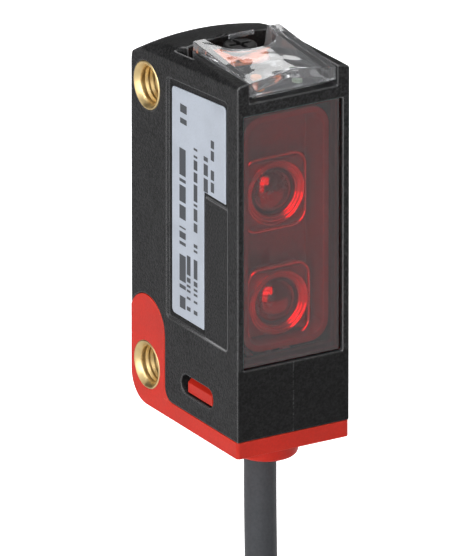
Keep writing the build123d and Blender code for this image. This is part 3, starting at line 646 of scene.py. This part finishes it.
# --- label ---
# A silver polyester label in the recess on the left side, printed in dark grey. The print is plain
# bars and dashes and says nothing.
def printed_bar():
    """One printed line: a box in Y and Z, broken into dashes of uneven length along Z."""
    tree, given, out = effect_group("printed_bar", [
        ("Y", "NodeSocketFloat", 0), ("Z", "NodeSocketFloat", 0), ("Half Y", "NodeSocketFloat", 0.001),
        ("Half Z", "NodeSocketFloat", 0.001), ("Dash", "NodeSocketFloat", 0.0005), ("Gaps", "NodeSocketFloat", 0.3),
    ], [("Mask", "NodeSocketFloat")])
    at = put(tree, "ShaderNodeSeparateXYZ", links={0: object_place(tree)})
    inside = []
    for axis in "YZ":
        off = combine(tree, "ABSOLUTE", combine(tree, "SUBTRACT", at.outputs[axis], given.outputs[axis]))
        inside.append(combine(tree, "LESS_THAN", off, given.outputs["Half " + axis]))
    cell = combine(tree, "FLOOR", combine(tree, "DIVIDE", at.outputs["Z"], given.outputs["Dash"]))
    chance = put(tree, "ShaderNodeTexWhiteNoise", {"noise_dimensions": "1D"}, links={"W": cell})
    dash = combine(tree, "GREATER_THAN", chance.outputs["Value"], given.outputs["Gaps"])
    feed(tree, out, Mask=combine(tree, "MULTIPLY", combine(tree, "MULTIPLY", *inside), dash))
    return tree


film = plastic("label_film", (0.455, 0.495, 0.56), 0.38, 0.05, shine=0.3, speck=0.04)
film_tree = film.node_tree
film_shader = film_tree.nodes["Principled BSDF"]
film_colour = film_shader.inputs["Base Color"].links[0].from_socket
bar = printed_bar()
label_low, label_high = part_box("type_label")
label_rear, label_foot = label_high[1] / MM, label_low[2] / MM
printed = None
# distance in front of the rear edge, foot, height above the foot, line height, dash, share of gaps
for inward, foot, tall, line, dash, gaps in (
        (1.75, 2.6, 5.6, 1.05, 0.30, 0.18), (1.75, 8.9, 6.4, 1.05, 0.30, 0.18), (1.75, 0.8, 1.1, 0.95, 3.0, 0.0),
        (1.9, 17.0, 2.3, 1.1, 0.5, 0.35), (2.75, 0.9, 5.0, 0.62, 0.22, 0.2), (3.9, 0.9, 6.4, 0.62, 0.22, 0.22),
        (3.9, 8.4, 7.6, 0.62, 0.22, 0.22), (5.6, 12.6, 3.2, 0.7, 0.26, 0.2), (6.7, 12.4, 5.2, 0.55, 0.22, 0.25)):
    line_mask = put(film_tree, "ShaderNodeGroup", {"node_tree": bar}, {
        "Y": (label_rear - inward) * MM, "Z": (label_foot + foot + tall / 2) * MM, "Half Y": line / 2 * MM,
        "Half Z": tall / 2 * MM, "Dash": dash * MM, "Gaps": gaps}).outputs["Mask"]
    printed = line_mask if printed is None else combine(film_tree, "MAXIMUM", printed, line_mask)
ink = (0.06, 0.065, 0.075, 1)
inked = put(film_tree, "ShaderNodeMix", {"data_type": "RGBA"}, {7: ink}, {0: printed, 6: film_colour})
feed(film_tree, film_shader, Base_Color=inked.outputs[2])
label = softened("type_label", 0.02)
dress(label, film)


# --- adjusting screw ---
# A black moulded screw with a cross recess in its head, reached through the hood's round cut-out. A
# soft orange ring seals it in the roof, and a spring-steel ring in its groove takes the end play.
screw = softened("adjusting_spindle", 0.05)
# the grey edge colour is a painted highlight along the screw's edges
dress(screw, plastic("spindle_plastic", (0.008, 0.008, 0.008), 0.45, 0.1, edge=(0.10, 0.10, 0.10), shine=0.35))
seal = softened("spindle_seal", 0.06)
# the paler orange edge colour is a painted highlight along the seal's edges
dress(seal, plastic("orange_rubber", (0.80, 0.17, 0.04), 0.5, 0.25, 3000, edge=(0.9, 0.3, 0.1), shine=0.3, speck=0.1))
dress(nodes["spindle_clip"], metal("spring_steel", (0.42, 0.43, 0.46), 0.28, (1, 1, 5), 0.3))


# --- mirror carriage ---
# A black acetal nut on the screw's thread carries the deflecting mirror, a slip of silvered glass
# cemented to its front, and slides on two ground steel pins pressed into the roof.
dress(nodes["mirror_carriage"], plastic("carriage_acetal", (0.02, 0.02, 0.021), 0.35, 0.25, 4000, shine=0.45))
dress(nodes["deflecting_mirror"], metal("silvered_glass", (0.92, 0.93, 0.94), 0.03, (1, 1, 1), 0.02))
dress(nodes["guide_pins"], metal("ground_steel", (0.62, 0.62, 0.64), 0.18, (1, 1, 0.1), 0.25))


# --- electronics ---
# Two glass-fibre boards with green solder mask: the upright one carries the chip, the screened
# amplifier, the light source and the receiver; the small one under the hood carries the two lamps.
def board_material(name, green):
    """Solder mask over copper tracks: thin lines of a brick pattern, paler and slightly raised."""
    material, tree, shader = blank_material(name, Specular_IOR_Level=0.5)
    at = object_place(tree)
    turned_up = put(tree, "ShaderNodeMapping", values={"Rotation": (pi / 2, 0, 0)}, links={"Vector": at})
    red, middle_green, blue = green
    tracks = put(tree, "ShaderNodeTexBrick", {"offset": 0.37, "squash": 0.6, "squash_frequency": 3}, {
        "Scale": 1000, "Brick Width": 1.9, "Row Height": 0.55, "Mortar Size": 0.06, "Mortar Smooth": 0.2,
        "Color1": (*green, 1), "Color2": (red * 0.8, middle_green * 0.8, blue * 0.8, 1),
        "Mortar": (red * 2.2 + 0.02, middle_green * 1.9, blue * 1.6, 1)}, {"Vector": turned_up.outputs[0]})
    weave = put(tree, "ShaderNodeTexNoise", values={"Scale": 5000, "Detail": 2}, links={"Vector": at}).outputs["Fac"]
    raised = put(tree, "ShaderNodeBump", values={"Strength": 0.4, "Distance": 0.00003},
                 links={"Height": tracks.outputs["Fac"]})
    uneven = put(tree, "ShaderNodeBump", values={"Strength": 0.15, "Distance": 0.00002},
                 links={"Height": weave, "Normal": raised.outputs["Normal"]})
    feed(tree, shader, Base_Color=tracks.outputs["Color"], Roughness=ranged(tree, weave, (0, 1), (0.25, 0.42)),
         Normal=uneven.outputs["Normal"])
    return material


def banded(material, axis, limit, colour, plane=0.0, metal_share=0.0):
    """Repaints a material where its distance along an axis from a plane is more than a limit.

    The distance is the absolute value of the absolute coordinate less the plane's, so that a piece
    on each side of the middle gets the same bands.
    """
    tree = material.node_tree
    shader = tree.nodes["Principled BSDF"]
    at = put(tree, "ShaderNodeSeparateXYZ", links={0: object_place(tree)}).outputs[axis]
    off = combine(tree, "ABSOLUTE", combine(tree, "SUBTRACT", combine(tree, "ABSOLUTE", at), plane))
    beyond = combine(tree, "GREATER_THAN", off, limit)
    plain_colour = shader.inputs["Base Color"].links[0].from_socket
    mixed = put(tree, "ShaderNodeMix", {"data_type": "RGBA"}, {7: (*colour, 1)}, {0: beyond, 6: plain_colour})
    feed(tree, shader, Base_Color=mixed.outputs[2])
    if metal_share:
        feed(tree, shader, Metallic=combine(tree, "MULTIPLY", beyond, metal_share))
    return material


emitter_dome, yellow_dome, green_dome = 0.5 * MM, 0.9 * MM, 0.6 * MM
dress(nodes["main_board"], board_material("main_board_mask", (0.012, 0.13, 0.05)))
dress(nodes["indicator_board"], board_material("indicator_board_mask", (0.010, 0.10, 0.045)))
dress(nodes["signal_chip"], plastic("chip_epoxy", (0.022, 0.022, 0.024), 0.62, 0.5, 7000, shine=0.3))
dress(nodes["shield_can"], metal("tinned_sheet", (0.74, 0.73, 0.70), 0.26, (1, 1, 0.15), 0.3))
dress(nodes["chip_capacitors"], banded(
    plastic("capacitor_ceramic", (0.33, 0.20, 0.11), 0.45, 0.2, 9000), "X", 0.24 * MM, (0.74, 0.73, 0.70),
    plane=3.2 * MM, metal_share=0.9))
dress(nodes["board_pins"], metal("tinned_pins", (0.72, 0.70, 0.64), 0.3, (1, 0.2, 1), 0.3))
dress(nodes["emitter_led"], banded(
    plastic("emitter_package", (0.70, 0.70, 0.66), 0.3, 0.1, 8000, speck=0.05), "Y",
    -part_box("emitter_led")[0][1] - emitter_dome, (0.75, 0.10, 0.08)))
dress(nodes["receiver_diode"], plastic("receiver_epoxy", (0.10, 0.012, 0.018), 0.12, 0.05, 4000, shine=0.6, speck=0.1))
lamp_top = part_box("status_led_yellow")[1][2]
dress(nodes["status_led_yellow"], banded(
    plastic("yellow_lamp", (0.82, 0.80, 0.74), 0.35, 0.05, 8000, speck=0.05), "Z", lamp_top - yellow_dome,
    (0.98, 0.30, 0.03)))
dress(nodes["status_led_green"], banded(
    plastic("green_lamp", (0.82, 0.80, 0.74), 0.35, 0.05, 8000, speck=0.05), "Z", lamp_top - green_dome,
    (0.52, 0.66, 0.46)))
